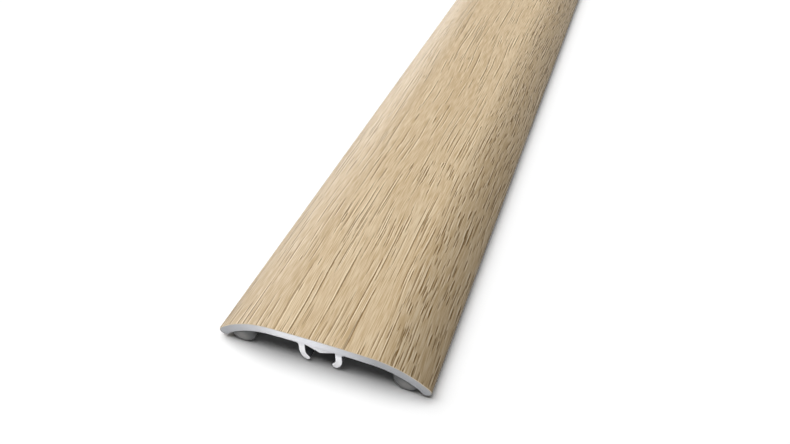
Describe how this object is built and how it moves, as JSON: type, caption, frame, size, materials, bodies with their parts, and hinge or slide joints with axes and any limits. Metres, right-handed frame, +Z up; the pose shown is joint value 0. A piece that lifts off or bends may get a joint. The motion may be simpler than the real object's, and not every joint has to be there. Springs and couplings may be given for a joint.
{
  "type": "threshold strip",
  "caption": "Arched aluminium threshold strip wrapped in oak decor foil, with a hooked fixing channel and adhesive beads underneath, for covering the joint between two floors.",
  "frame": {"origin": "on the floor plane, midway along the strip and midway between its two edges", "axes": "+X across the strip, +Y along it away from the pictured end, +Z up out of the floor"},
  "size_m": [0.041, 0.93, 0.0066],
  "materials": {
    "extruded_aluminium": "bare mill finish with fine die lines along the length, saw-cut ends",
    "printed_oak_foil": "satin light oak print with embossed pores",
    "grey_butyl": "soft grey mastic, slightly shiny"
  },
  "bodies": {
    "root": {"aluminium_profile": "extruded_aluminium", "oak_decor_foil": "printed_oak_foil", "adhesive_bead_left": "grey_butyl", "adhesive_bead_right": "grey_butyl"}
  },
  "joints": []
}
